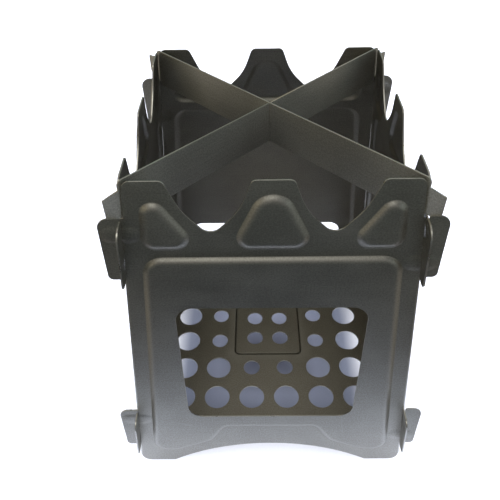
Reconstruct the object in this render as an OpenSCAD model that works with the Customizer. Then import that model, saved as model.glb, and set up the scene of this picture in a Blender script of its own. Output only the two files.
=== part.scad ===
// Flat-pack camping wood stove: four leaning sheet-metal walls hooked into a square tower, a
// drilled floor plate with a lift-out centre, and two pot bars crossed in the corners.
// Z is up, the front wall faces -Y, and the origin is the middle of the footprint on the ground.
// Each wall is drawn flat: u runs to the right seen from outside, v up the slope, n outwards.

/* [Walls] */
// Height of a wall along its slope
wall_h = 180; // [150:1:210]
// Lean of the walls towards the top, degrees
lean = 5.2; // [4:0.1:6.5]
// Half the distance between opposite walls at the very top
top_half = 55; // [50:1:62]
// Thickness of all the sheet
sheet_t = 0.7; // [0.5:0.1:0.8]
// Radius of the outer corner of a tip
tip_corner_r = 3.3; // [1:0.1:5]
// Radius of the foot corners
foot_r = 5; // [2:0.5:8]
// Half the span of the arch between the feet
arch_half = 52.5; // [45:0.5:55]
// Height of the arch over the ground
arch_rise = 16; // [10:0.5:18]

/* [Tips along the top edge] */
// Radius of the other corners of the tips
tip_inner_r = 2.6; // [1:0.1:4]
// Half the flat of the centre tip, before rounding
mid_tip_half = 7.6; // [6:0.1:9]
// Flat of an outer tip, before rounding
side_tip_w = 14.55; // [13:0.05:16]
// From an outer tip's flat to the middle of the valley
valley_run = 15.7; // [14.5:0.1:17]
// Depth of the sharp valley point, before rounding
valley_depth = 24.4; // [22:0.1:27]
// Radius of the valley bottom
valley_r = 5; // [3:0.5:6]
// Depth of the bend in a tip's flank
knee_drop = 13; // [11:0.1:15]
// From the centre tip's flat to its flank's bend
knee_run_in = 4.6; // [4:0.1:5.5]
// From an outer tip's flat to its flank's bend
knee_run_out = 5.5; // [4.5:0.1:6.5]
// Radius of the bend in a tip's flank
knee_r = 26; // [10:1:28]

/* [Hooks] */
// Middle height of the lower hooks
low_hook_v = 31; // [28:0.5:33]
// Middle of the upper hooks, below the top edge
high_hook_drop = 30.8; // [29:0.1:34]
// Height of a hook
hook_h = 30; // [24:1:31]
// How far a hook reaches past the corner line at its middle
hook_reach = 8.1; // [6.5:0.1:10]
// Radius of a hook's outer top corner
hook_top_r = 4.8; // [3:0.1:5]
// Radius of a hook's outer bottom corner
hook_low_r = 2.2; // [1:0.1:3]
// Radius at the open end of a hook's slot
slot_mouth_r = 1.4; // [0.5:0.1:2]
// Radius at the closed end of a hook's slot
slot_end_r = 0.3; // [0.2:0.1:0.6]
// Radius where a hook leaves the wall
hook_root_r = 0.6; // [0.4:0.1:0.8]
// Play of a wall's sheet at the outside of a hook's slot
slot_play = 0.65; // [0.6:0.05:0.8]
// Play between a wall's edge and its neighbour, below the bars
edge_play = 0.25; // [0.2:0.05:0.4]
// Drop from the upper hooks' top to where the edge draws in to let the bars pass
pass_drop = 1.4; // [1:0.1:3]
// Height over which it draws in
pass_rise = 0.6; // [0.4:0.1:0.8]
// Play between pieces that seat on each other
seat_gap = 0.3; // [0.3:0.05:0.5]
// Reach of the bead that stiffens a hook's neck, from the corner line inwards
neck_in = 6; // [4:0.1:7]
// Margin from that bead to a hook's outer edge
neck_margin = 1.4; // [1.2:0.1:2]
// Height of that bead
neck_h = 6.4; // [5:0.1:7]
// End radius of that bead
neck_r = 3.1; // [2:0.1:3.1]
// Rise of that bead
neck_rise = 0.35; // [0.2:0.05:0.35]

/* [Pressings] */
// Rise of the pressed fields
press_rise = 1.5; // [1:0.1:1.8]
// Margin from the corner line to a field
field_margin = 8; // [7:0.1:9]
// Top line of the big field, below the top edge
field_drop = 35.2; // [33:0.1:40]
// Radius of its top corners
field_top_r = 8; // [5:0.5:10]
// Bottom of the big field over the feet
field_low = 11.4; // [10:0.1:13]
// Radius of its bottom corners
field_low_r = 7; // [4:0.5:7.5]
// From those corners to where the bottom line starts to climb over the arch
climb_run = 12.8; // [12:0.1:14]
// Radius there
climb_r = 18; // [6:1:20]
// From the ledge to the shoulder of that line
shoulder_run = 7.9; // [6:0.1:9]
// Height of the shoulder
shoulder_v = 20.2; // [19:0.1:22]
// Radius of the shoulder
shoulder_r = 6; // [3:0.5:8]
// Bottom of the big field over the arch, which is the ledge for the floor
ledge_v = 33; // [31:0.1:35]
// Half the length of that ledge, before rounding
ledge_half = 23.4; // [22.5:0.1:25]
// Radius at the ends of the ledge
ledge_r = 4; // [2:0.5:5]
// Bottom line of the small triangles, below the top edge
tri_drop = 29.8; // [28:0.1:31]
// Radius of their base corners
tri_r = 4.8; // [3:0.1:5]
// Half the base of the middle triangle, before rounding
mid_tri_half = 15.6; // [14:0.1:16]
// Height of the middle triangle, before rounding
mid_tri_h = 33; // [30:0.1:34]
// Radius of that apex
mid_apex_r = 7.5; // [5:0.1:8]
// From an outer tip's flat to the inner end of a side triangle's base
side_tri_run = 10.7; // [8:0.1:11]
// Height of a side triangle, before rounding
side_tri_h = 28.2; // [26:0.1:30]
// Radius of that apex
side_apex_r = 4.2; // [3:0.1:5]

/* [Openings] */
// Half width of the fuel window in the front wall
window_half = 41; // [36:0.5:44]
// Bottom of the fuel window
window_low = 42.6; // [40:0.1:50]
// Top of the fuel window, below the top edge
window_drop = 61; // [50:0.5:80]
// Half width of the draught opening in the back wall
draught_half = 50; // [40:0.5:51]
// Top of the draught opening
draught_top = 54; // [45:0.5:60]
// Corner radius of both openings
opening_r = 7.5; // [5:0.5:10]

/* [Floor] */
// Level of the floor's upper face
floor_z = 26; // [24:0.5:27]
// Clearance from the floor plate to the walls' inner faces
floor_gap = 1.2; // [1.1:0.1:2.5]
// Corner radius of the floor plate
floor_r = 6; // [3:0.5:10]
// Corner radius of the hatch
hatch_r = 2.1; // [1:0.1:3]
// Pitch of the holes
hole_pitch = 19.25; // [18:0.05:20]
// Diameter of the large holes
large_d = 13.7; // [12:0.1:14.5]
// Diameter of the small holes
small_d = 9.2; // [8:0.1:10]
// Half the pitch of the four holes in the hatch
hatch_hole = 7.6; // [7:0.1:8.5]
// Strip between the hatch's opening and the holes beside it
hatch_rim = 4.6; // [3:0.1:5]
// Clearance round the hatch
hatch_gap = 0.8; // [0.3:0.05:1]
// Half width of the lips that hang the floor on the ledges
lip_half = 19; // [12:0.5:20]
// Clearance from a lip's foot to the back of the pressing
foot_play = 0.4; // [0.4:0.05:0.6]
// How far the seat that carries the hatch reaches under its edge
seat_lap = 2; // [1.5:0.1:3]

/* [Pot bars] */
// Play of a bar in the gap at a corner
bar_play = 0.22; // [0.2:0.01:0.3]
// How far a bar's end reaches past the corner line of the top edge
bar_over = 7.4; // [6:0.1:9]
// How far its upper edge reaches past that line
bar_top_over = 0.6; // [0.2:0.1:1]
// Depth of a bar in the middle
bar_h = 18.5; // [16.5:0.1:22]
// Clearance from the deep middle part to the inside of a corner
deep_clear = 2; // [1.8:0.1:5]
// Radius of its bottom corners
bar_low_r = 1; // [0.5:0.1:1.5]
// Run of the step up to the heel that stands on the hooks
heel_run = 1; // [0.8:0.1:1.5]
// Length of the bevel under a bar's end
bevel_run = 4.2; // [3:0.1:5]
// Rise of that bevel
bevel_rise = 2.4; // [1:0.1:3]
// Step from the upper edge down to a bar's end
end_step = 3.8; // [3:0.1:4.5]
// Fall of the end's own top edge
end_fall = 0.9; // [0.5:0.1:2]
// Radius of the end's top corner
end_r = 0.4; // [0.2:0.1:0.6]
// Radius of the upper edge's corner above it
bar_top_r = 2.2; // [1:0.1:2.6]
// Play on each side in the slots where the bars cross
cross_play = 0.3; // [0.3:0.05:0.5]

/* [Hidden] */
$fn = 64;
cut = 4;
arc_step = 12;
titanium = [0.36, 0.37, 0.37];
floor_tint = [0.33, 0.31, 0.27];
bar_tint = [0.40, 0.41, 0.40];
half_t = sheet_t / 2;
edge_gap = half_t + sqrt(2) * (half_t + bar_play);
close_gap = half_t + edge_play;
slot_out = half_t + slot_play;
wall_z = -half_t * sin(lean);
top_z = wall_h * cos(lean);
arch_r = (pow(arch_half, 2) + pow(arch_rise, 2)) / (2 * arch_rise);
side_tip_in = edge_u(wall_h) - side_tip_w;
hook_mid = [low_hook_v, wall_h - high_hook_drop];
hook_low = [for (m = hook_mid) m - hook_h / 2];
hook_high = [for (m = hook_mid) m + hook_h / 2];
hook_out = [for (m = hook_mid) corner_u(m) + hook_reach];

// Distance from the middle of a wall to the corner line, at height v
function corner_u(v) = top_half + (wall_h - v) * sin(lean);
// Free edge of a wall at height v, where the bars pass and below them
function edge_u(v) = corner_u(v) - edge_gap;
function close_u(v) = corner_u(v) - close_gap;
// Outer side of a hook's slot at height v
function slot_u(v) = corner_u(v) + slot_out;
// Distance from the stove's axis, at level z, to the layer n of a wall
function layer_at(z, n) = corner_u(0) - (z - wall_z) * tan(lean) + n / cos(lean);

// Outlines are lists of corners [x, y, radius], anticlockwise
function xy(c) = [c[0], c[1]];
function unit(p) = p / norm(p);
function wrap(a) = a - 360 * floor((a + 180) / 360);
function polar(r, a) = r * [cos(a), sin(a)];
function arc(c, r, a, sweep, n) = [for (i = [0 : n]) c + polar(r, a + sweep * i / n)];
function fillet(a, b, c, r) =
    let (to_a = unit(a - b), to_c = unit(c - b))
    let (half = acos(to_a * to_c) / 2)
    let (mid = b + unit(to_a + to_c) * r / sin(half))
    let (p = b + to_a * r / tan(half) - mid)
    let (q = b + to_c * r / tan(half) - mid)
    let (start = atan2(p[1], p[0]))
    let (sweep = wrap(atan2(q[1], q[0]) - start))
    arc(mid, r, start, sweep, max(2, ceil(abs(sweep) / arc_step)));
function before(k, i) = k[(i + len(k) - 1) % len(k)];
function after(k, i) = k[(i + 1) % len(k)];
function rounded(k) = [for (i = [0 : len(k) - 1])
    for (p = k[i][2] > 0 ? fillet(xy(before(k, i)), xy(k[i]), xy(after(k, i)), k[i][2]) : [xy(k[i])]) p];
// The same outline moved inwards by g
function inward(a, b) = let (d = unit(b - a)) [-d[1], d[0]];
function shrunk(k, g) = [for (i = [0 : len(k) - 1])
    let (m = inward(xy(before(k, i)), xy(k[i])), n = inward(xy(k[i]), xy(after(k, i))))
    let (p = xy(k[i]) + (m + n) * g / (1 + m * n))
    let (hollow = m[0] * n[1] - m[1] * n[0] < 0)
    [p[0], p[1], k[i][2] + (hollow ? g : -g)]];
function mirrored(k) = [for (i = [len(k) - 1 : -1 : 0]) [-k[i][0], k[i][1], k[i][2]]];

// Right-hand edge with hooks open upwards, from the bottom to the top
function open_up_hook(i) = [
    [close_u(hook_low[i]), hook_low[i], hook_root_r],
    [hook_out[i], hook_low[i], hook_low_r],
    [hook_out[i], hook_high[i], hook_top_r],
    [slot_u(hook_high[i]), hook_high[i], slot_mouth_r],
    [slot_u(hook_mid[i]), hook_mid[i] - seat_gap / 2, slot_end_r],
    [close_u(hook_mid[i]), hook_mid[i] - seat_gap / 2, slot_end_r]];
// Left-hand edge with hooks open downwards, from the top to the bottom
function open_down_hook(i) = [
    [-(i == 0 ? close_u(hook_high[i]) : edge_u(hook_high[i])), hook_high[i], hook_root_r],
    [-hook_out[i], hook_high[i], hook_top_r],
    [-hook_out[i], hook_low[i], hook_low_r],
    [-slot_u(hook_low[i]), hook_low[i], slot_mouth_r],
    [-slot_u(hook_mid[i]), hook_mid[i] + seat_gap / 2, slot_end_r],
    [-close_u(hook_mid[i]), hook_mid[i] + seat_gap / 2, slot_end_r]];
// Step in the right-hand edge, just below the bars
pass_low = hook_high[1] - pass_drop;
pass_high = pass_low + pass_rise;
pass_step = [[close_u(pass_low), pass_low, 0], [edge_u(pass_high), pass_high, 0]];
// Right half of the top edge, from the corner to the centre tip
top_edge = [
    [edge_u(wall_h), wall_h, tip_corner_r],
    [side_tip_in, wall_h, tip_inner_r],
    [side_tip_in - knee_run_out, wall_h - knee_drop, knee_r],
    [side_tip_in - valley_run, wall_h - valley_depth, valley_r],
    [mid_tip_half + knee_run_in, wall_h - knee_drop, knee_r],
    [mid_tip_half, wall_h, tip_inner_r]];
wall_outline = concat(
    [[-close_u(0), 0, foot_r], [close_u(0), 0, foot_r]],
    open_up_hook(0),
    open_up_hook(1),
    pass_step,
    top_edge,
    mirrored(top_edge),
    open_down_hook(1),
    open_down_hook(0));

// Outlines of the pressings
function field_u(v) = corner_u(v) - field_margin;
field_top = wall_h - field_drop;
tri_base = wall_h - tri_drop;
side_apex = tri_base + side_tri_h;
half_field = [
    [ledge_half, ledge_v, ledge_r],
    [ledge_half + shoulder_run, shoulder_v, shoulder_r],
    [field_u(field_low) - climb_run, field_low, climb_r],
    [field_u(field_low), field_low, field_low_r],
    [field_u(field_top), field_top, field_top_r]];
field = concat(half_field, mirrored(half_field));
mid_triangle = [
    [-mid_tri_half, tri_base, tri_r],
    [mid_tri_half, tri_base, tri_r],
    [0, tri_base + mid_tri_h, mid_apex_r]];
side_triangle = [
    [side_tip_in - side_tri_run, tri_base, tri_r],
    [field_u(tri_base), tri_base, tri_r],
    [field_u(side_apex), side_apex, side_apex_r]];
function box_k(left, low, right, high, r) =
    [[left, low, r], [right, low, r], [right, high, r], [left, high, r]];
function neck(v, out) = let (b = neck_h / 2)
    box_k(corner_u(v) - neck_in, v - b, out - neck_margin, v + b, neck_r);
necks = [for (i = [0, 1]) each [
    neck(hook_mid[i] - hook_h / 4, hook_out[i]),
    mirrored(neck(hook_mid[i] + hook_h / 4, hook_out[i]))]];
pressings = [field, mid_triangle, side_triangle, mirrored(side_triangle)];

// An outline as a slab between two levels of n
module slab(k, low, high) {
    translate([0, 0, low])
        linear_extrude(high - low)
            polygon(rounded(k));
}

// A pressing: raised outside, hollow inside, and of the sheet's own thickness
module raised(k, rise) {
    slab(k, 0, half_t + rise);
}
module hollow(k, rise) {
    slab(shrunk(k, sheet_t), -cut, rise - half_t);
}

// Sheet of a wall before its openings are cut
module pressed_sheet() {
    difference() {
        union() {
            slab(wall_outline, -half_t, half_t);
            for (k = pressings)
                raised(k, press_rise);
            for (k = necks)
                raised(k, neck_rise);
        }
        for (k = pressings)
            hollow(k, press_rise);
        for (k = necks)
            hollow(k, neck_rise);
        translate([0, arch_rise - arch_r, -cut])
            cylinder(h = 2 * cut, r = arch_r, $fn = 180);
    }
}

// A rounded opening through the sheet
module opening(half, low, high) {
    slab(box_k(-half, low, half, high, opening_r), -cut, cut);
}

// Stand a flat wall up on its side of the square, with its feet trimmed level on the ground
module stand(side) {
    rotate([0, 0, 90 * side])
        difference() {
            translate([0, -corner_u(0), wall_z])
                rotate([90 - lean, 0, 0])
                    children();
            translate([-wall_h, -wall_h, -cut])
                cube([2 * wall_h, wall_h, cut]);
        }
}

module front_wall() {
    color(titanium)
        stand(0)
            difference() {
                pressed_sheet();
                opening(window_half, window_low, wall_h - window_drop);
            }
}

module right_wall() {
    color(titanium)
        stand(1)
            pressed_sheet();
}

module back_wall() {
    color(titanium)
        stand(2)
            difference() {
                pressed_sheet();
                opening(draught_half, -draught_top, draught_top);
            }
}

module left_wall() {
    color(titanium)
        stand(3)
            pressed_sheet();
}

floor_half = layer_at(floor_z, -half_t) - floor_gap;
hatch_edge = 1.5 * hole_pitch - small_d / 2 - hatch_rim;
hatch_half = hatch_edge - hatch_gap;

// Square with rounded corners, as an outline
function square_k(half, r) = box_k(-half, -half, half, half, r);

// Places of the holes along one side of their square grid, as shares of the pitch
grid_shares = [-2.5 : 2.5];
function in_hatch(i, j) = abs(i) < 1 && abs(j) < 1;
function is_small(i, j) = max(abs(i), abs(j)) < 2 && min(abs(i), abs(j)) < 1;

// A lip at the front edge: an upright with a foot that stands on the pressed ledge
module lip() {
    ledge_z = wall_z + (ledge_v + sheet_t) * cos(lean) + (press_rise - half_t) * sin(lean);
    foot_z = ledge_z + seat_gap;
    foot_tip = layer_at(foot_z + sheet_t, press_rise - half_t) - foot_play;
    translate([-lip_half, -floor_half, floor_z - sheet_t])
        cube([2 * lip_half, sheet_t, foot_z - floor_z + 2 * sheet_t]);
    translate([-lip_half, -foot_tip, foot_z])
        cube([2 * lip_half, foot_tip - floor_half + sheet_t, sheet_t]);
}

// Edge of the hatch's opening, pressed down into a seat that carries the hatch all round
module hatch_seat() {
    low = floor_z - 2 * sheet_t - seat_gap;
    corner_r = hatch_r + hatch_gap;
    difference() {
        slab(square_k(hatch_edge + sheet_t, corner_r + sheet_t), low, floor_z - half_t);
        slab(square_k(hatch_edge, corner_r), low + sheet_t, floor_z + cut);
        slab(square_k(hatch_half - seat_lap, hatch_r), low - cut, floor_z + cut);
    }
}

module floor_plate() {
    color(floor_tint) {
        difference() {
            slab(square_k(floor_half, floor_r), floor_z - sheet_t, floor_z);
            slab(square_k(hatch_edge, hatch_r + hatch_gap), floor_z - cut, floor_z + cut);
            for (i = grid_shares, j = grid_shares)
                if (!in_hatch(i, j))
                    translate([i * hole_pitch, j * hole_pitch, floor_z - cut])
                        cylinder(h = 2 * cut, d = is_small(i, j) ? small_d : large_d);
        }
        for (side = [0, 1, 3])
            rotate([0, 0, 90 * side])
                lip();
        hatch_seat();
    }
}

module floor_hatch() {
    color(floor_tint)
        difference() {
            slab(square_k(hatch_half, hatch_r), floor_z - sheet_t, floor_z);
            for (i = [-1, 1], j = [-1, 1])
                translate([i * hatch_hole, j * hatch_hole, floor_z - cut])
                    cylinder(h = 2 * cut, d = small_d);
        }
}

// Outline of half a bar, from its deep middle out to the end and back to the top
heel_z = hook_high[1] * cos(lean) + seat_gap;
deep_z = top_z - bar_h;
bar_half = sqrt(2) * top_half + bar_over;
bar_top_half = sqrt(2) * top_half + bar_top_over;
bar_deep_half = sqrt(2) * (corner_u(hook_high[1]) - half_t) - deep_clear;
half_bar = [
    [bar_deep_half, deep_z, bar_low_r],
    [bar_deep_half + heel_run, heel_z, 0],
    [bar_half - bevel_run, heel_z, 0],
    [bar_half, heel_z + bevel_rise, 0],
    [bar_half, top_z - end_step - end_fall, end_r],
    [bar_top_half, top_z - end_step, 0],
    [bar_top_half, top_z, bar_top_r]];
bar_outline = concat(half_bar, mirrored(half_bar));
lap_z = (deep_z + top_z) / 2;
cross_slot = sheet_t + 2 * cross_play;

module bar(angle) {
    rotate([0, 0, angle])
        rotate([90, 0, 0])
            slab(bar_outline, -half_t, half_t);
}

module cross_cut(angle, low, high) {
    rotate([0, 0, angle])
        translate([-cross_slot / 2, -cut, low])
            cube([cross_slot, 2 * cut, high - low]);
}

// Runs from the front left corner to the back right corner and is slotted from above
module lower_pot_bar() {
    color(bar_tint)
        difference() {
            bar(45);
            cross_cut(45, lap_z - seat_gap / 2, top_z + cut);
        }
}

// Runs from the front right corner to the back left corner and is slotted from below
module upper_pot_bar() {
    color(bar_tint)
        difference() {
            bar(-45);
            cross_cut(-45, deep_z - cut, lap_z + seat_gap / 2);
        }
}

front_wall();
right_wall();
back_wall();
left_wall();
floor_plate();
floor_hatch();
lower_pot_bar();
upper_pot_bar();
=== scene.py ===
"""Flat-pack camping wood stove in satin titanium: pressed sheets, cut edges, studio light and camera.

Lengths are in millimetres and turn into metres when a sheet becomes a mesh. A sheet is laid out flat, with
x and y in its own plane and its height above that plane given by its pressings.
"""

import math

import bpy
import numpy as np
from mathutils import Matrix, Vector
from mathutils.geometry import delaunay_2d_cdt


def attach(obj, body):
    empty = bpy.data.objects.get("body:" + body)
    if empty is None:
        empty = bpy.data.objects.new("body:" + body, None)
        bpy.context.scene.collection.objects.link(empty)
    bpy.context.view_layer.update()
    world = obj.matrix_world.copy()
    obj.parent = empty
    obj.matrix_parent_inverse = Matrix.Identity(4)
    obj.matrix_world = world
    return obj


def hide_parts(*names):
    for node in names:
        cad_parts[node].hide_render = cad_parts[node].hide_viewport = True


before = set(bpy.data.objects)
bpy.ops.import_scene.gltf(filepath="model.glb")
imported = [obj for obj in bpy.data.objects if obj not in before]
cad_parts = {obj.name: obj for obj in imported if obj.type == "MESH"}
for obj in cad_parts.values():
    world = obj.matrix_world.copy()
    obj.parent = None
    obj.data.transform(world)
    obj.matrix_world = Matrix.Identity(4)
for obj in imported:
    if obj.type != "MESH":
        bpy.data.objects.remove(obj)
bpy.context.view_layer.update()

MM = 0.001

# Sheet, walls and tips
SHEET = 0.7
WALL_H = 180.0
LEAN = math.radians(5.2)
TOP_HALF = 55.0
BAR_PLAY = 0.22
EDGE_GAP = SHEET / 2 + math.sqrt(2) * (SHEET / 2 + BAR_PLAY)
CLOSE_GAP = SHEET / 2 - 0.01
PASS_DROP, PASS_RISE = 1.4, 0.6
WALL_Z = -SHEET / 2 * math.sin(LEAN)
TIP_CORNER_R = 3.3
TIP_INNER_R = 2.6
FOOT_R = 5.0
ARCH_HALF = 52.5
ARCH_RISE = 16.0
MID_TIP_HALF = 7.6
SIDE_TIP_W = 14.55
VALLEY_RUN, VALLEY_DEPTH, VALLEY_R = 15.7, 24.4, 5.0
KNEE_DROP, KNEE_RUN_IN, KNEE_RUN_OUT, KNEE_R = 13.0, 4.6, 5.5, 26.0

# Hooks and the beads on their necks
HOOK_H = 30.0
HOOK_MIDS = (31.0, WALL_H - 30.8)
HOOK_REACH = 8.1
HOOK_TOP_R, HOOK_LOW_R, HOOK_ROOT_R = 4.8, 2.2, 0.6
SLOT_OUT = SHEET / 2 + 0.65
SLOT_MOUTH_R, SLOT_END_R = 1.4, 0.3
SEAT_GAP = 0.3
NECK_IN, NECK_MARGIN, NECK_H, NECK_R = 6.0, 1.4, 6.4, 3.1

# Pressings
PRESS_RISE = 1.5
NECK_RISE = 0.35
FIELD_MARGIN = 8.0
FIELD_TOP, FIELD_TOP_R = WALL_H - 35.2, 8.0
FIELD_LOW, FIELD_LOW_R = 11.4, 7.0
CLIMB_RUN, CLIMB_R = 12.8, 18.0
SHOULDER_RUN, SHOULDER_V, SHOULDER_R = 7.9, 20.2, 6.0
LEDGE_V, LEDGE_HALF, LEDGE_R = 33.0, 23.4, 4.0
TRI_BASE, TRI_R = WALL_H - 29.8, 4.8
MID_TRI_HALF, MID_TRI_H, MID_APEX_R = 15.6, 33.0, 7.5
SIDE_TRI_RUN, SIDE_TRI_H, SIDE_APEX_R = 10.7, 28.2, 4.2

# Openings
WINDOW_HALF, WINDOW_LOW, WINDOW_HIGH = 41.0, 42.6, WALL_H - 61.0
DRAUGHT_HALF, DRAUGHT_TOP = 50.0, 54.0
OPENING_R = 7.5

# Floor and hatch
FLOOR_Z = 26.0
FLOOR_GAP = 1.2
FLOOR_R = 6.0
HOLE_PITCH, LARGE_D, SMALL_D = 19.25, 13.7, 9.2
HATCH_HOLE, HATCH_RIM, HATCH_GAP, HATCH_R = 7.6, 4.6, 0.8, 2.1
LIP_HALF = 19.0
FOOT_PLAY = 0.4
SEAT_LAP, SEAT_BEND = 2.0, 1.2

# Pot bars
BAR_H = 18.5
BAR_OVER, BAR_TOP_OVER, DEEP_CLEAR = 7.4, 0.6, 2.0
BAR_LOW_R, HEEL_RUN, BEVEL_RUN, BEVEL_RISE = 1.0, 1.0, 4.2, 2.4
END_STEP, END_FALL, END_R, BAR_TOP_R = 3.8, 0.9, 0.4, 2.2
CROSS_SLOT = SHEET + 0.6

# How finely the sheets are made
ARC_STEP = math.radians(6)
FLANK, TIP_FLANK, NECK_FLANK = 4.0, 4.6, 4.8
FLANK_OUT_SHARE = 0.33
FLANK_STEPS = 10
FLANK_MARGIN = 0.35
EDGE_ROUND = 0.12
PROBE = 0.02
WEAR_REACH, WEAR_FULL = 0.3, 1.2


# Outlines: lists of corners (x, y, radius), anticlockwise


def rounded(corners):
    """The corners' outline with an arc at each corner that has a radius."""
    points = []
    for i, (x, y, r) in enumerate(corners):
        here = np.array((x, y))
        if r <= 0:
            points.append(here)
            continue
        back = np.array(corners[i - 1][:2]) - here
        ahead = np.array(corners[(i + 1) % len(corners)][:2]) - here
        back, ahead = back / np.linalg.norm(back), ahead / np.linalg.norm(ahead)
        half = math.acos(np.clip(back @ ahead, -1, 1)) / 2
        bisector = (back + ahead) / np.linalg.norm(back + ahead)
        centre = here + bisector * r / math.sin(half)
        first = here + back * r / math.tan(half) - centre
        last = here + ahead * r / math.tan(half) - centre
        start = math.atan2(first[1], first[0])
        sweep = (math.atan2(last[1], last[0]) - start + math.pi) % (2 * math.pi) - math.pi
        steps = max(2, math.ceil(abs(sweep) / ARC_STEP))
        for k in range(steps + 1):
            a = start + sweep * k / steps
            points.append(centre + r * np.array((math.cos(a), math.sin(a))))
    return np.array(points)


def moved_in(corners, g):
    """The same outline moved inwards by g."""
    result = []
    for i, (x, y, r) in enumerate(corners):
        here = np.array((x, y))
        before = here - np.array(corners[i - 1][:2])
        after = np.array(corners[(i + 1) % len(corners)][:2]) - here
        m = np.array((-before[1], before[0])) / np.linalg.norm(before)
        n = np.array((-after[1], after[0])) / np.linalg.norm(after)
        p = here + (m + n) * g / (1 + m @ n)
        hollow = m[0] * n[1] - m[1] * n[0] < 0
        result.append((p[0], p[1], max(0.05, r + g if hollow else r - g)))
    return result


def mirrored(corners):
    return [(-x, y, r) for x, y, r in reversed(corners)]


def box_corners(left, low, right, high, r):
    return [(left, low, r), (right, low, r), (right, high, r), (left, high, r)]


def circle(x, y, d):
    steps = 48
    turns = 2 * np.pi * np.arange(steps) / steps
    return np.stack((x + d / 2 * np.cos(turns), y + d / 2 * np.sin(turns)), 1)


# The walls' outline


def corner_u(v):
    """From the middle of a wall to the corner line, at height v up the slope."""
    return TOP_HALF + (WALL_H - v) * math.sin(LEAN)


def layer_at(z, n):
    """From the stove's axis to the layer n of a wall, at level z."""
    return corner_u(0) - (z - WALL_Z) * math.tan(LEAN) + n / math.cos(LEAN)


def hook(mid, opens_up):
    """Corners of a hook on the right-hand edge. One that opens down is drawn here and mirrored later."""
    low, high = mid - HOOK_H / 2, mid + HOOK_H / 2
    out = corner_u(mid) + HOOK_REACH
    if opens_up:
        slot_end = mid - SEAT_GAP / 2
        return [
            (corner_u(low) - CLOSE_GAP, low, HOOK_ROOT_R),
            (out, low, HOOK_LOW_R),
            (out, high, HOOK_TOP_R),
            (corner_u(high) + SLOT_OUT, high, SLOT_MOUTH_R),
            (corner_u(mid) + SLOT_OUT, slot_end, SLOT_END_R),
            (corner_u(mid) - CLOSE_GAP, slot_end, SLOT_END_R),
        ]
    root_gap = EDGE_GAP if mid == HOOK_MIDS[1] else CLOSE_GAP
    slot_end = mid + SEAT_GAP / 2
    return [
        (corner_u(mid) - CLOSE_GAP, slot_end, SLOT_END_R),
        (corner_u(mid) + SLOT_OUT, slot_end, SLOT_END_R),
        (corner_u(low) + SLOT_OUT, low, SLOT_MOUTH_R),
        (out, low, HOOK_LOW_R),
        (out, high, HOOK_TOP_R),
        (corner_u(high) - root_gap, high, HOOK_ROOT_R),
    ]


def wall_outline():
    edge_top, edge_low = corner_u(WALL_H) - EDGE_GAP, corner_u(0) - CLOSE_GAP
    tip = edge_top - SIDE_TIP_W
    knee_v = WALL_H - KNEE_DROP
    top_edge = [
        (edge_top, WALL_H, TIP_CORNER_R),
        (tip, WALL_H, TIP_INNER_R),
        (tip - KNEE_RUN_OUT, knee_v, KNEE_R),
        (tip - VALLEY_RUN, WALL_H - VALLEY_DEPTH, VALLEY_R),
        (MID_TIP_HALF + KNEE_RUN_IN, knee_v, KNEE_R),
        (MID_TIP_HALF, WALL_H, TIP_INNER_R),
    ]
    right = [c for mid in HOOK_MIDS for c in hook(mid, True)]
    left = [c for mid in HOOK_MIDS for c in hook(mid, False)]
    feet = [(-edge_low, 0, FOOT_R), (edge_low, 0, FOOT_R)]
    step = HOOK_MIDS[1] + HOOK_H / 2 - PASS_DROP
    right += [(corner_u(step) - CLOSE_GAP, step, 0), (corner_u(step) - EDGE_GAP, step + PASS_RISE, 0)]
    return rounded(feet + right + top_edge + mirrored(top_edge) + mirrored(left))


def arch():
    """The arch between the feet, as the part of a circle above the ground."""
    r = (ARCH_HALF**2 + ARCH_RISE**2) / (2 * ARCH_RISE)
    half = math.asin(ARCH_HALF / r) * 1.05
    turns = np.linspace(math.pi / 2 - half, math.pi / 2 + half, 90)
    return np.stack((r * np.cos(turns), ARCH_RISE - r + r * np.sin(turns)), 1)


# The walls' pressings: (corners, rise, width of the sloping flank)


def wall_pressings():
    def field_u(v):
        return corner_u(v) - FIELD_MARGIN

    tip = corner_u(WALL_H) - EDGE_GAP - SIDE_TIP_W
    half_field = [
        (LEDGE_HALF, LEDGE_V, LEDGE_R),
        (LEDGE_HALF + SHOULDER_RUN, SHOULDER_V, SHOULDER_R),
        (field_u(FIELD_LOW) - CLIMB_RUN, FIELD_LOW, CLIMB_R),
        (field_u(FIELD_LOW), FIELD_LOW, FIELD_LOW_R),
        (field_u(FIELD_TOP), FIELD_TOP, FIELD_TOP_R),
    ]
    middle = [
        (-MID_TRI_HALF, TRI_BASE, TRI_R),
        (MID_TRI_HALF, TRI_BASE, TRI_R),
        (0, TRI_BASE + MID_TRI_H, MID_APEX_R),
    ]
    apex = TRI_BASE + SIDE_TRI_H
    side = [
        (tip - SIDE_TRI_RUN, TRI_BASE, TRI_R),
        (field_u(TRI_BASE), TRI_BASE, TRI_R),
        (field_u(apex), apex, SIDE_APEX_R),
    ]
    large = [half_field + mirrored(half_field), middle, side, mirrored(side)]
    necks = []
    for mid in HOOK_MIDS:
        out = corner_u(mid) + HOOK_REACH - NECK_MARGIN
        low, high = mid - HOOK_H / 4, mid + HOOK_H / 4
        half = NECK_H / 2
        necks.append(box_corners(corner_u(low) - NECK_IN, low - half, out, low + half, NECK_R))
        necks.append(mirrored(box_corners(corner_u(high) - NECK_IN, high - half, out, high + half, NECK_R)))
    flanks = [FLANK, TIP_FLANK, TIP_FLANK, TIP_FLANK]
    return [(c, PRESS_RISE, f) for c, f in zip(large, flanks)] + [(c, NECK_RISE, NECK_FLANK) for c in necks]


# Heights over a flat sheet


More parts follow.
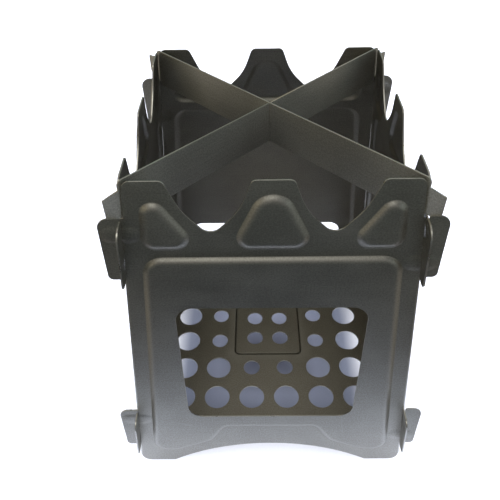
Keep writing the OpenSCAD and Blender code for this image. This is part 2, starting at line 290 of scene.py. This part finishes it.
def depth_inside(points, loop):
    """Distance of each point to a closed loop, positive inside it."""
    a, b = loop, np.roll(loop, -1, axis=0)
    ab, ap = b - a, points[:, None] - a
    t = np.clip((ap * ab).sum(2) / np.maximum((ab * ab).sum(1), 1e-12), 0, 1)
    distance = np.linalg.norm(ap - t[..., None] * ab, axis=2).min(1)
    y = points[:, None, 1]
    spans = (a[:, 1] > y) != (b[:, 1] > y)
    rise = np.where(ab[:, 1] == 0, 1, ab[:, 1])
    crossing = points[:, None, 0] < ab[:, 0] * (y - a[:, 1]) / rise + a[:, 0]
    inside = (spans & crossing).sum(1) % 2 == 1
    return np.where(inside, distance, -distance)


def height_over(pressings):
    """A function for the sheet's height over its flat plane. A flank starts crisply and ends softly."""
    loops = [(rounded(c), rise, flank) for c, rise, flank in pressings]

    def height(points):
        total = np.zeros(len(points))
        for loop, rise, flank in loops:
            near = ((points > loop.min(0) - flank) & (points < loop.max(0) + flank)).all(1)
            t = np.clip((depth_inside(points[near], loop) - SHEET / 2) / flank + FLANK_OUT_SHARE, 0, 1)
            total[near] += rise * t * t * (10 - 20 * t + 15 * t * t - 4 * t**3)
        return total

    return height


def flank_rings(corners, flank):
    """Closed lines along a pressing's flank, with one more on the flat at each side."""
    offsets = SHEET / 2 + flank * (np.arange(FLANK_STEPS + 1) / FLANK_STEPS - FLANK_OUT_SHARE)
    offsets = [offsets[0] - FLANK_MARGIN, *offsets, offsets[-1] + FLANK_MARGIN]
    return [rounded(moved_in(corners, g)) for g in offsets]


# A sheet as a mesh


class Sheet:
    """Closed mesh arrays of a cut, pressed or bent sheet."""

    def __init__(self, outline, cuts=(), rings=(), folds=(), height=None, bend=None):
        self.height = height or (lambda points: np.zeros(len(points)))
        self.bend = bend or (lambda flat: flat)
        points, triangles = self.filled(outline, cuts, rings, folds)
        self.build(points, triangles)

    @staticmethod
    def filled(outline, cuts, rings, folds):
        """Triangles that fill the outline round its cuts and follow the rings and folds."""
        points, edges = [], []
        for loop in [outline, *cuts, *rings]:
            first = len(points)
            points += list(loop)
            edges += [(first + i, first + (i + 1) % len(loop)) for i in range(len(loop))]
        for a, b in folds:
            edges.append((len(points), len(points) + 1))
            points += [np.array(a), np.array(b)]
        made = delaunay_2d_cdt([Vector(p) for p in points], edges, [], 0, 1e-4)
        points = np.array([tuple(p) for p in made[0]])
        triangles = np.array([f for f in made[2] if len(f) == 3])
        centres = points[triangles].mean(1)
        kept = depth_inside(centres, outline) > 0
        for cut in cuts:
            kept &= depth_inside(centres, cut) < 0
        a, b, c = (points[triangles[:, k]] for k in range(3))
        area = (b[:, 0] - a[:, 0]) * (c[:, 1] - a[:, 1]) - (b[:, 1] - a[:, 1]) * (c[:, 0] - a[:, 0])
        kept &= np.abs(area) > 1e-6
        triangles = np.where((area > 0)[:, None], triangles, triangles[:, ::-1])[kept]
        used, triangles = np.unique(triangles, return_inverse=True)
        return points[used], triangles.reshape(-1, 3)

    def surface(self, flat):
        """Places and normals of points on the sheet's middle layer."""

        def at(dx, dy):
            p = flat + (dx, dy)
            return self.bend(np.column_stack((p, self.height(p))))

        across = at(PROBE, 0) - at(-PROBE, 0)
        along = at(0, PROBE) - at(0, -PROBE)
        normal = np.cross(across, along)
        return at(0, 0), normal / np.linalg.norm(normal, axis=1)[:, None]

    def crest(self, flat):
        """How strongly the sheet's outside is rounded over, from 0 to 1, where hands and cloths rub it."""
        r = WEAR_REACH
        around = [self.height(flat + d) for d in ((r, 0), (-r, 0), (0, r), (0, -r))]
        return np.clip((4 * self.height(flat) - sum(around)) / r**2 / WEAR_FULL, 0, 1)

    def build(self, flat, triangles):
        sides = np.concatenate([triangles[:, (0, 1)], triangles[:, (1, 2)], triangles[:, (2, 0)]])
        known = {tuple(e) for e in sides}
        rim = np.array([e for e in sides if (e[1], e[0]) not in known])
        outward = np.zeros_like(flat)
        direction = flat[rim[:, 1]] - flat[rim[:, 0]]
        direction /= np.linalg.norm(direction, axis=1)[:, None]
        right = np.stack((direction[:, 1], -direction[:, 0]), 1)
        np.add.at(outward, rim[:, 0], right)
        np.add.at(outward, rim[:, 1], right)
        edge = np.unique(rim)
        outward[edge] /= np.linalg.norm(outward[edge], axis=1)[:, None]
        place = np.full(len(flat), -1)
        place[edge] = np.arange(len(edge))

        faces_flat = flat - outward * EDGE_ROUND
        middle, normal = self.surface(faces_flat)
        rim_middle, rim_normal = self.surface(flat[edge])
        nudge = outward[edge] * PROBE
        reach = self.surface(flat[edge] + nudge)[0] - self.surface(flat[edge] - nudge)[0]
        reach /= np.linalg.norm(reach, axis=1)[:, None]

        n = len(flat)
        half, flatter = SHEET / 2, SHEET / 2 - EDGE_ROUND
        self.points = np.concatenate(
            [
                middle + normal * half,
                middle - normal * half,
                rim_middle + rim_normal * flatter,
                rim_middle - rim_normal * flatter,
            ]
        )
        self.normals = np.concatenate([normal, -normal, reach, reach])
        self.flat = np.concatenate([faces_flat, faces_flat, flat[edge], flat[edge]])
        self.worn = np.concatenate([self.crest(faces_flat), np.zeros(n), np.ones(2 * len(edge))])
        i, j = rim[:, 0], rim[:, 1]
        up_i, up_j = 2 * n + place[i], 2 * n + place[j]
        low_i, low_j = up_i + len(edge), up_j + len(edge)
        quads = [
            np.stack((i, up_i, up_j, j), 1),
            np.stack((up_i, low_i, low_j, up_j), 1),
            np.stack((low_i, n + i, n + j, low_j), 1),
        ]
        self.faces = [tuple(f) for f in triangles] + [tuple(f) for f in triangles[:, ::-1] + n]
        self.slots = [0] * len(self.faces)
        for strip in quads:
            self.faces += [tuple(f) for f in strip]
            self.slots += [1] * len(strip)

    def turned(self, matrix):
        """The sheet moved to its place by a 4 by 4 matrix in millimetres."""
        m = np.array(matrix)
        self.points = self.points @ m[:3, :3].T + m[:3, 3]
        self.normals = self.normals @ m[:3, :3].T
        return self


def piece(name, sheets, materials, body):
    """One object from one or more sheets. It stands for the CAD node that its name begins with."""
    faces, slots, first = [], [], 0
    for s in sheets:
        faces += [tuple(int(i) + first for i in f) for f in s.faces]
        slots += s.slots
        first += len(s.points)
    points, normals, flat, worn = (
        np.concatenate([getattr(s, field) for s in sheets]) for field in ("points", "normals", "flat", "worn")
    )
    points = points * MM
    points[:, 2] = np.maximum(points[:, 2], 0)
    mesh = bpy.data.meshes.new(name)
    mesh.from_pydata(points.tolist(), [], faces)
    mesh.polygons.foreach_set("material_index", slots)
    mesh.polygons.foreach_set("use_smooth", [True] * len(faces))
    layer = mesh.uv_layers.new(name="sheet")
    corners = np.zeros(len(mesh.loops), int)
    mesh.loops.foreach_get("vertex_index", corners)
    layer.data.foreach_set("uv", (flat[corners] / 100).ravel())
    mesh.attributes.new("worn", "FLOAT", "POINT").data.foreach_set("value", worn)
    for m in materials:
        mesh.materials.append(m)
    mesh.normals_split_custom_set_from_vertices(normals.tolist())
    made = bpy.data.objects.new(name, mesh)
    bpy.context.scene.collection.objects.link(made)
    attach(made, body)
    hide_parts(name.removesuffix("_sheet"))
    return made


# The stove's sheets


def standing(side):
    """Stands a flat wall up on its side of the square."""
    up = Matrix.Rotation(math.pi / 2 - LEAN, 4, "X")
    out = Matrix.Translation((0, -corner_u(0), WALL_Z))
    return Matrix.Rotation(side * math.pi / 2, 4, "Z") @ out @ up


def wall(side, cuts=()):
    pressings = wall_pressings()
    rings = [ring for c, _, flank in pressings for ring in flank_rings(c, flank)]
    cuts = [arch(), *cuts]
    return Sheet(wall_outline(), cuts, rings, height=height_over(pressings)).turned(standing(side))


def square(half, r):
    return rounded(box_corners(-half, -half, half, half, r))


FLOOR_HALF = layer_at(FLOOR_Z, -SHEET / 2) - FLOOR_GAP
HATCH_EDGE = 1.5 * HOLE_PITCH - SMALL_D / 2 - HATCH_RIM
BEND_R = 1.0
LIP_ROOT = FLOOR_HALF - SHEET / 2 - BEND_R
LIP_RELIEF = 0.8
LEDGE_Z = WALL_Z + (LEDGE_V + SHEET) * math.cos(LEAN) + (PRESS_RISE - SHEET / 2) * math.sin(LEAN)
FOOT_Z = LEDGE_Z + SEAT_GAP
FOOT_TIP = layer_at(FOOT_Z + SHEET, PRESS_RISE - SHEET / 2) - FOOT_PLAY
LIP_UP = FOOT_Z + SHEET / 2 - (FLOOR_Z - SHEET / 2) - 2 * BEND_R
FOOT_LEN = FOOT_TIP - (FLOOR_HALF - SHEET / 2 + BEND_R)
BEND_LEN = BEND_R * math.pi / 2


def lip_path(s):
    """Along a lip from its root: distance out, rise and heading, up one bend and out by another."""
    first = np.clip(s, 0, BEND_LEN) / BEND_R
    straight = np.clip(s - BEND_LEN, 0, LIP_UP)
    second = np.clip(s - BEND_LEN - LIP_UP, 0, BEND_LEN) / BEND_R
    foot = np.maximum(s - 2 * BEND_LEN - LIP_UP, 0)
    out = BEND_R * np.sin(first) + BEND_R * (1 - np.cos(second)) + foot
    up = BEND_R * (1 - np.cos(first)) + straight + BEND_R * np.sin(second)
    return out, up, first - second


LIP_TURNS = {0: (0, -1), 1: (1, 0), 3: (-1, 0)}


def bend_lips(flat):
    """Folds the tabs at three sides of the floor's flat pattern."""
    bent = flat.copy()
    for ox, oy in LIP_TURNS.values():
        out = flat[:, 0] * ox + flat[:, 1] * oy
        lateral = flat[:, 0] * -oy + flat[:, 1] * ox
        tab = (out > LIP_ROOT) & (np.abs(lateral) < LIP_HALF + 0.1)
        reach, up, heading = lip_path(out[tab] - LIP_ROOT)
        n = flat[tab, 2]
        reach = LIP_ROOT + reach - n * np.sin(heading)
        bent[tab, 0] = reach * ox - lateral[tab] * oy
        bent[tab, 1] = reach * oy + lateral[tab] * ox
        bent[tab, 2] = up + n * np.cos(heading)
    return bent


def floor_outline():
    tab_end = LIP_ROOT + 2 * BEND_LEN + LIP_UP + FOOT_LEN
    notch = LIP_HALF + LIP_RELIEF
    corners = []
    for side in range(4):
        a = side * math.pi / 2
        turn = np.array(((math.cos(a), -math.sin(a)), (math.sin(a), math.cos(a))))
        local = [(-FLOOR_HALF, -FLOOR_HALF, FLOOR_R)]
        if side in LIP_TURNS:
            half_tab = [
                (notch, -FLOOR_HALF, 0.3),
                (notch, -LIP_ROOT, 0.3),
                (LIP_HALF, -LIP_ROOT, 0.3),
                (LIP_HALF, -tab_end, 0.8),
            ]
            local += [(-x, y, r) for x, y, r in half_tab] + half_tab[::-1]
        corners += [(*(turn @ (x, y)), r) for x, y, r in local]
    return rounded(corners)


def lip_folds():
    """Lines across each tab where it bends."""
    stops = [BEND_LEN * k / 6 for k in range(7)]
    stops += [BEND_LEN + LIP_UP + s for s in stops]
    folds = []
    for ox, oy in LIP_TURNS.values():
        for s in stops:
            out = LIP_ROOT + s
            half = LIP_HALF + LIP_RELIEF / 2 if s > 0 else LIP_HALF - LIP_RELIEF
            folds.append([(ox * out - oy * w, oy * out + ox * w) for w in (-half, half)])
    return folds


def hole_grid():
    """The floor's holes: a square grid that leaves out the hatch, with smaller holes round it."""
    holes = []
    for i in np.arange(-2.5, 3):
        for j in np.arange(-2.5, 3):
            if max(abs(i), abs(j)) < 1:
                continue
            small = max(abs(i), abs(j)) < 2 and min(abs(i), abs(j)) < 1
            holes.append(circle(i * HOLE_PITCH, j * HOLE_PITCH, SMALL_D if small else LARGE_D))
    return holes


def seat_drop(points):
    """Height of the floor, whose edge round the hatch is pressed down into a seat."""
    depth = depth_inside(points, square(HATCH_EDGE, HATCH_R + HATCH_GAP))
    t = np.clip(depth / SEAT_BEND + 0.5, 0, 1)
    return -(SHEET + SEAT_GAP) * t * t * (3 - 2 * t)


def floor_plate():
    level = Matrix.Translation((0, 0, FLOOR_Z - SHEET / 2))
    cuts = [square(HATCH_EDGE - HATCH_GAP - SEAT_LAP, HATCH_R), *hole_grid()]
    rings = [square(HATCH_EDGE - g, HATCH_R + HATCH_GAP - g) for g in np.linspace(-0.5, 0.5, 9) * SEAT_BEND]
    return Sheet(floor_outline(), cuts, rings, lip_folds(), seat_drop, bend_lips).turned(level)


def floor_hatch():
    holes = [circle(x, y, SMALL_D) for x in (-HATCH_HOLE, HATCH_HOLE) for y in (-HATCH_HOLE, HATCH_HOLE)]
    level = Matrix.Translation((0, 0, FLOOR_Z - SHEET / 2))
    return Sheet(square(HATCH_EDGE - HATCH_GAP, HATCH_R), holes).turned(level)


TOP_Z = WALL_H * math.cos(LEAN)
HEEL_Z = (HOOK_MIDS[1] + HOOK_H / 2) * math.cos(LEAN) + SEAT_GAP
DEEP_Z = TOP_Z - BAR_H
LAP_Z = (DEEP_Z + TOP_Z) / 2
BAR_HALF = math.sqrt(2) * TOP_HALF + BAR_OVER
BAR_TOP_HALF = math.sqrt(2) * TOP_HALF + BAR_TOP_OVER
BAR_DEEP_HALF = math.sqrt(2) * (corner_u(HOOK_MIDS[1] + HOOK_H / 2) - SHEET / 2) - DEEP_CLEAR


def pot_bar(angle, slot_low, slot_high):
    half_bar = [
        (BAR_DEEP_HALF, DEEP_Z, BAR_LOW_R),
        (BAR_DEEP_HALF + HEEL_RUN, HEEL_Z, 0),
        (BAR_HALF - BEVEL_RUN, HEEL_Z, 0),
        (BAR_HALF, HEEL_Z + BEVEL_RISE, 0),
        (BAR_HALF, TOP_Z - END_STEP - END_FALL, END_R),
        (BAR_TOP_HALF, TOP_Z - END_STEP, 0),
        (BAR_TOP_HALF, TOP_Z, BAR_TOP_R),
    ]
    outline = rounded(half_bar + mirrored(half_bar))
    slot = rounded(box_corners(-CROSS_SLOT / 2, slot_low, CROSS_SLOT / 2, slot_high, 0.3))
    upright = Matrix.Rotation(angle, 4, "Z") @ Matrix.Rotation(math.pi / 2, 4, "X")
    return Sheet(outline, [slot]).turned(upright)


# Finishes


def node(tree, kind, inputs=None, **settings):
    """A node with its settings, and its inputs linked or set by name or number."""
    made = tree.nodes.new(kind)
    for key, value in settings.items():
        setattr(made, key, value)
    for key, value in (inputs or {}).items():
        if isinstance(value, bpy.types.NodeSocket):
            tree.links.new(value, made.inputs[key])
        else:
            made.inputs[key].default_value = value
    return made


def maths(tree, operation, a, b, clamp=False):
    return node(tree, "ShaderNodeMath", {0: a, 1: b}, operation=operation, use_clamp=clamp).outputs[0]


def ranged(tree, value, low, high, out_low=0.0, out_high=1.0):
    """The value moved from one range to another, and kept within it."""
    inputs = {"Value": value, "From Min": low, "From Max": high, "To Min": out_low, "To Max": out_high}
    return node(tree, "ShaderNodeMapRange", inputs).outputs["Result"]


def mixed(tree, share, a, b):
    """A colour between two others."""
    return node(tree, "ShaderNodeMix", {0: share, 6: a, 7: b}, data_type="RGBA").outputs[2]


def noise(tree, place, size, detail=3.0, roughness=0.5):
    """Noise whose blotches are about one unit of the place, divided by size, across."""
    inputs = {"Vector": place, "Scale": size, "Detail": detail, "Roughness": roughness}
    return node(tree, "ShaderNodeTexNoise", inputs).outputs["Fac"]


def stretched(tree, place, x, y):
    return node(tree, "ShaderNodeMapping", {"Vector": place, "Scale": (x, y, 1)}).outputs["Vector"]


def group(name, inputs, outputs):
    """An empty node group, with what it is given and what it puts out."""
    tree = bpy.data.node_groups.new(name, "ShaderNodeTree")
    for label, value in inputs.items():
        kind = "NodeSocketColor" if isinstance(value, tuple) else "NodeSocketFloat"
        tree.interface.new_socket(name=label, in_out="INPUT", socket_type=kind).default_value = value
    for label, kind in outputs.items():
        tree.interface.new_socket(name=label, in_out="OUTPUT", socket_type=kind)
    return tree, node(tree, "NodeGroupInput").outputs, node(tree, "NodeGroupOutput").inputs


def rolled_grain():
    """Rolled and blasted sheet: cloudy tone, faint lines from the rollers and a fine even grain."""
    given = {"Light Tone": (0.5,) * 3 + (1,), "Dark Tone": (0.4,) * 3 + (1,), "Roughness": 0.4, "Lines": 0.5}
    made = {"Color": "NodeSocketColor", "Roughness": "NodeSocketFloat", "Height": "NodeSocketFloat"}
    tree, ask, give = group("rolled_grain", given, made)
    place = node(tree, "ShaderNodeUVMap", uv_map="sheet").outputs["UV"]
    clouds = noise(tree, place, 3.5, 4)
    lines = noise(tree, stretched(tree, place, 1.6, 130), 1, 5, 0.6)
    grain = noise(tree, place, 150, 3, 0.75)
    lined = maths(tree, "MULTIPLY", maths(tree, "SUBTRACT", lines, 0.5), ask["Lines"])
    speckle = maths(tree, "MULTIPLY", maths(tree, "SUBTRACT", grain, 0.5), 4.8)
    cloudy = ranged(tree, clouds, 0.3, 0.7, 0.15, 0.85)
    tone = maths(tree, "ADD", maths(tree, "ADD", cloudy, lined), speckle, True)
    tree.links.new(mixed(tree, tone, ask["Dark Tone"], ask["Light Tone"]), give["Color"])
    rougher = ranged(tree, clouds, 0.3, 0.7, -0.025, 0.035)
    uneven = maths(tree, "ADD", rougher, maths(tree, "MULTIPLY", lined, 0.1))
    tree.links.new(maths(tree, "ADD", ask["Roughness"], uneven), give["Roughness"])
    height = maths(tree, "ADD", maths(tree, "MULTIPLY", lined, 0.4), maths(tree, "MULTIPLY", grain, 0.6))
    tree.links.new(height, give["Height"])
    return tree


def handling_marks():
    """Where the sheet was handled: soft smears, and thin scratches that run several ways."""
    given = {"Smears": 0.5, "Scratches": 0.5}
    made = {"Smears": "NodeSocketFloat", "Scratches": "NodeSocketFloat"}
    tree, ask, give = group("handling_marks", given, made)
    place = node(tree, "ShaderNodeUVMap", uv_map="sheet").outputs["UV"]
    smears = ranged(tree, noise(tree, place, 9, 5, 0.6), 0.5, 0.72)
    tree.links.new(maths(tree, "MULTIPLY", smears, ask["Smears"]), give["Smears"])
    scratches = 0.0
    for angle, length, shift in ((0.35, 1.4, 0.0), (-0.9, 2.1, 5.0), (1.45, 1.1, 9.0)):
        inputs = {"Vector": place, "Rotation": (0, 0, angle), "Location": (shift, shift, shift)}
        turned = node(tree, "ShaderNodeMapping", inputs).outputs["Vector"]
        thin = noise(tree, stretched(tree, turned, length, 170), 1, 1)
        scratches = maths(tree, "MAXIMUM", scratches, ranged(tree, thin, 0.74, 0.8))
    few = ranged(tree, noise(tree, place, 5, 2), 0.45, 0.65)
    shown = maths(tree, "MULTIPLY", maths(tree, "MULTIPLY", scratches, few), ask["Scratches"])
    tree.links.new(shown, give["Scratches"])
    return tree


GRAIN, MARKS = rolled_grain(), handling_marks()
RUBBED = (0.62, 0.6, 0.56, 1)
BUMP_DEPTH = 0.02


def material(name):
    made = bpy.data.materials.new(name)
    made.use_nodes = True
    tree = made.node_tree
    tree.nodes.clear()
    return made, tree


def shaded(tree, color, roughness, height):
    """The metal itself, with its finest relief as a bump."""
    bump = node(tree, "ShaderNodeBump", {"Height": height, "Distance": BUMP_DEPTH * MM, "Strength": 1.0})
    inputs = {"Base Color": color, "Metallic": 1.0, "Roughness": roughness, "Normal": bump.outputs["Normal"]}
    metal = node(tree, "ShaderNodeBsdfPrincipled", inputs)
    node(tree, "ShaderNodeOutputMaterial", {"Surface": metal.outputs["BSDF"]})


def titanium(name, light, dark, roughness, lines, smears, scratches):
    """Satin titanium sheet."""
    made, tree = material(name)
    inputs = {"Light Tone": light, "Dark Tone": dark, "Roughness": roughness, "Lines": lines}
    grain = node(tree, "ShaderNodeGroup", node_tree=GRAIN)
    marks = node(tree, "ShaderNodeGroup", node_tree=MARKS)
    for label, value in inputs.items():
        grain.inputs[label].default_value = value
    marks.inputs["Smears"].default_value = smears
    marks.inputs["Scratches"].default_value = scratches
    worn = node(tree, "ShaderNodeAttribute", attribute_name="worn").outputs["Fac"]
    scratched = marks.outputs["Scratches"]
    bare = maths(tree, "MAXIMUM", maths(tree, "MULTIPLY", worn, 0.3), maths(tree, "MULTIPLY", scratched, 0.6))
    color = mixed(tree, bare, grain.outputs["Color"], RUBBED)
    dulled = maths(tree, "MULTIPLY", marks.outputs["Smears"], 0.07)
    polished = maths(tree, "MULTIPLY", worn, -0.06)
    roughness = maths(tree, "ADD", maths(tree, "ADD", grain.outputs["Roughness"], dulled), polished)
    height = maths(tree, "SUBTRACT", grain.outputs["Height"], maths(tree, "MULTIPLY", scratched, 0.5))
    shaded(tree, color, roughness, height)
    return made


def bare_edge():
    """The cut edge of a sheet: bright metal with a fine grain and patches."""
    made, tree = material("bare_cut_edge")
    place = node(tree, "ShaderNodeTexCoord").outputs["Object"]
    lines = noise(tree, place, 2400, 2, 0.6)
    patches = noise(tree, place, 110, 3)
    tone = ranged(tree, maths(tree, "ADD", lines, patches), 0.7, 1.3)
    color = mixed(tree, tone, (0.5, 0.48, 0.42, 1), (0.68, 0.66, 0.6, 1))
    shaded(tree, color, ranged(tree, patches, 0.3, 0.7, 0.26, 0.38), lines)
    return made


WALL = titanium("wall_titanium", (0.44, 0.425, 0.38, 1), (0.315, 0.3, 0.263, 1), 0.44, 0.8, 0.7, 0.9)
FLOOR = titanium("floor_titanium", (0.44, 0.41, 0.35, 1), (0.34, 0.31, 0.26, 1), 0.44, 0.5, 0.9, 0.7)
BAR = titanium("bar_titanium", (0.66, 0.65, 0.6, 1), (0.48, 0.47, 0.425, 1), 0.5, 1.1, 0.6, 0.9)
EDGE = bare_edge()


# The stove


def build_stove():
    window = rounded(box_corners(-WINDOW_HALF, WINDOW_LOW, WINDOW_HALF, WINDOW_HIGH, OPENING_R))
    draught = rounded(box_corners(-DRAUGHT_HALF, -DRAUGHT_TOP, DRAUGHT_HALF, DRAUGHT_TOP, OPENING_R))
    openings = {"front_wall": [window], "right_wall": [], "back_wall": [draught], "left_wall": []}
    for side, (name, cuts) in enumerate(openings.items()):
        piece(name + "_sheet", [wall(side, cuts)], (WALL, EDGE), "tower")
    piece("floor_plate_sheet", [floor_plate()], (FLOOR, EDGE), "floor")
    piece("floor_hatch_sheet", [floor_hatch()], (FLOOR, EDGE), "hatch")
    over, below = TOP_Z + BAR_H, DEEP_Z - BAR_H
    lower = pot_bar(math.pi / 4, LAP_Z - SEAT_GAP / 2, over)
    upper = pot_bar(-math.pi / 4, below, LAP_Z + SEAT_GAP / 2)
    piece("lower_pot_bar_sheet", [lower], (BAR, EDGE), "lower_bar")
    piece("upper_pot_bar_sheet", [upper], (BAR, EDGE), "upper_bar")


# Floor, lights and camera

STUDIO_FLOOR_HALF = 4.0
SQUARENESS = 8
BACKDROP = (0.93, 0.935, 0.94, 1)

# The light on the floor, from the horizon, at 0, to overhead, at 1
AIR = ((0, (0.8, 0.83, 1.0)), (0.3, (2.8, 2.9, 3.3)), (0.75, (2.8, 2.9, 3.3)), (0.95, (0.1, 0.11, 0.14)))

# Painted shadow on the floor: its tone by its distance in metres, soft and dim where the stove stands on it
FLOOR_PAINTED_SHADE = (
    (0.008, (0.31, 0.33, 0.42)),
    (0.03, (0.58, 0.62, 0.76)),
    (0.05, (0.42, 0.46, 0.57)),
    (0.058, (0.95, 0.95, 0.95)),
)

# What the metal reflects: the floor by its distance in metres and the floor to the stove's sides, both
# painted reflections of light on the floor, and the room from the horizon to overhead
FLOOR_IN_METAL = (
    (0.08, (0.75, 0.78, 0.84)),
    (0.11, (0.43, 0.47, 0.52)),
    (0.15, (0.04, 0.037, 0.037)),
    (0.2, (0.003, 0.003, 0.003)),
    (0.28, (0.006, 0.011, 0.013)),
    (0.45, (0.067, 0.073, 0.063)),
)
FLOOR_LIT_BESIDE = (0.15, 0.135, 0.107, 1)
BESIDE_X, BESIDE_Y = (0.08, 0.15), (-0.26, -0.15)
ROOM_FRONT = (
    (0, (0.1, 0.09, 0.09)),
    (0.25, (0.2, 0.19, 0.19)),
    (0.5, (0.22, 0.215, 0.22)),
    (0.75, (0.17, 0.16, 0.165)),
)
ROOM_BACK = (
    (0, (0.26, 0.3, 0.25)),
    (0.25, (0.26, 0.29, 0.26)),
    (0.5, (0.22, 0.27, 0.26)),
    (0.75, (0.5, 0.5, 0.47)),
)
ROOM_LEFT = ((0, (0.72, 0.64, 0.46)), (0.3, (0.54, 0.48, 0.34)), (0.6, (0.34, 0.3, 0.2)))
ROOM_RIGHT = ((0, (0.58, 0.63, 0.6)), (0.3, (0.44, 0.51, 0.5)), (0.6, (0.17, 0.22, 0.24)))


def ramp(tree, value, stops):
    """A colour that passes through the stops as the value rises."""
    made = node(tree, "ShaderNodeValToRGB", {"Fac": value})
    elements = made.color_ramp.elements
    elements.remove(elements[1])
    elements[0].position = stops[0][0]
    for place, _ in stops[1:]:
        elements.new(place)
    for element, (_, color) in zip(elements, stops):
        element.color = (*color, 1)
    return made.outputs["Color"]


def studio_floor():
    """A pale floor. In the metal it shows a painted reflection that fades away from the stove, as a lit table
    does in a dark room.

    Its tones, a painted shadow where the stove stands and a painted reflection in the metal, follow a rounded
    square round the stove.
    """
    made, tree = material("studio_floor")
    place = node(tree, "ShaderNodeTexCoord").outputs["Object"]
    split = node(tree, "ShaderNodeSeparateXYZ", {0: place}).outputs
    x, y = (maths(tree, "POWER", split[axis], SQUARENESS) for axis in "XY")
    away = maths(tree, "POWER", maths(tree, "ADD", x, y), 1 / SQUARENESS)
    sideways = ranged(tree, maths(tree, "ABSOLUTE", split["X"], 0), *BESIDE_X)
    lit_patch_beside = maths(tree, "MULTIPLY", sideways, ranged(tree, split["Y"], *BESIDE_Y))
    # Painted reflection: in the metal the floor is bright near the stove and fades with distance, with a
    # painted lit patch to the stove's sides
    painted_floor_reflection = mixed(tree, lit_patch_beside, ramp(tree, away, FLOOR_IN_METAL), FLOOR_LIT_BESIDE)
    # Painted shadow: the floor's colour is darkened round and under the stove
    shade = ramp(tree, away, FLOOR_PAINTED_SHADE)
    fibre = ranged(tree, noise(tree, place, 900, 3), 0.2, 0.8, 0.96, 1.0)
    paper_with_painted_shade = node(tree, "ShaderNodeVectorMath", {0: shade, "Scale": fibre}, operation="SCALE").outputs[0]
    glossy = node(tree, "ShaderNodeLightPath").outputs["Is Glossy Ray"]
    surface = node(tree, "ShaderNodeBsdfDiffuse", {"Color": mixed(tree, glossy, paper_with_painted_shade, painted_floor_reflection)})
    node(tree, "ShaderNodeOutputMaterial", {"Surface": surface.outputs["BSDF"]})
    h = STUDIO_FLOOR_HALF
    mesh = bpy.data.meshes.new("studio_floor")
    mesh.from_pydata([(-h, -h, 0), (h, -h, 0), (h, h, 0), (-h, h, 0)], [], [(0, 1, 2, 3)])
    mesh.materials.append(made)
    plane = bpy.data.objects.new("studio_floor", mesh)
    bpy.context.scene.collection.objects.link(plane)


def studio_room():
    """The room that the metal reflects, the light that falls on the floor and the backdrop."""
    world = bpy.data.worlds.new("studio_room")
    bpy.context.scene.world = world
    world.use_nodes = True
    world.cycles.sampling_method = "NONE"
    tree = world.node_tree
    tree.nodes.clear()
    direction = node(tree, "ShaderNodeTexCoord").outputs["Generated"]
    split = node(tree, "ShaderNodeSeparateXYZ", {0: direction}).outputs
    left, right, front, back, air = (
        ramp(tree, split["Z"], stops) for stops in (ROOM_LEFT, ROOM_RIGHT, ROOM_FRONT, ROOM_BACK, AIR)
    )
    left_right = mixed(tree, ranged(tree, split["X"], -0.1, 0.1), left, right)
    front_back = mixed(tree, ranged(tree, split["Y"], -0.1, 0.1), front, back)
    sideways = ranged(tree, maths(tree, "ABSOLUTE", split["X"], 0), 0.4, 0.85)
    room = mixed(tree, sideways, front_back, left_right)
    path = node(tree, "ShaderNodeLightPath").outputs
    shown = mixed(tree, path["Is Glossy Ray"], air, room)
    shown = mixed(tree, path["Is Camera Ray"], shown, BACKDROP)
    background = node(tree, "ShaderNodeBackground", {"Color": shown, "Strength": 1.0})
    node(tree, "ShaderNodeOutputWorld", {"Surface": background.outputs["Background"]})


def softbox(name, place, target, size, watts, color):
    lamp = bpy.data.lights.new(name, "AREA")
    lamp.shape = "RECTANGLE"
    lamp.size, lamp.size_y = size
    lamp.energy = watts
    lamp.color = color
    made = bpy.data.objects.new(name, lamp)
    made.location = place
    aim = Vector(target) - Vector(place)
    made.rotation_euler = aim.to_track_quat("-Z", "Y").to_euler()
    bpy.context.scene.collection.objects.link(made)


FOCAL_SHARE = 534.95 / 500
PITCH, YAW, ROLL = (math.radians(a) for a in (43.612, 1.009, -1.213))
CAMERA_PLACE = (-6.08, -207.39, 290.54)


def photo_camera():
    lens = bpy.data.cameras.new("photo_camera")
    lens.sensor_width = 36
    lens.lens = 36 * FOCAL_SHARE
    lens.clip_start, lens.clip_end = 0.01, 20
    made = bpy.data.objects.new("photo_camera", lens)
    forward = Vector((-math.sin(YAW) * math.cos(PITCH), math.cos(YAW) * math.cos(PITCH), -math.sin(PITCH)))
    level = Vector((math.cos(YAW), math.sin(YAW), 0))
    plumb = forward.cross(level)
    right = level * math.cos(ROLL) - plumb * math.sin(ROLL)
    down = level * math.sin(ROLL) + plumb * math.cos(ROLL)
    turn = Matrix((right, -down, -forward)).transposed().to_4x4()
    made.matrix_world = Matrix.Translation(Vector(CAMERA_PLACE) * MM) @ turn
    bpy.context.scene.collection.objects.link(made)
    bpy.context.scene.camera = made


build_stove()
studio_floor()
studio_room()
softbox("front_softbox", (-0.2, -0.9, 1.2), (0, 0, 0.1), (1.0, 0.7), 3.2, (0.98, 1, 0.93))
photo_camera()
bpy.context.scene.view_settings.view_transform = "Standard"
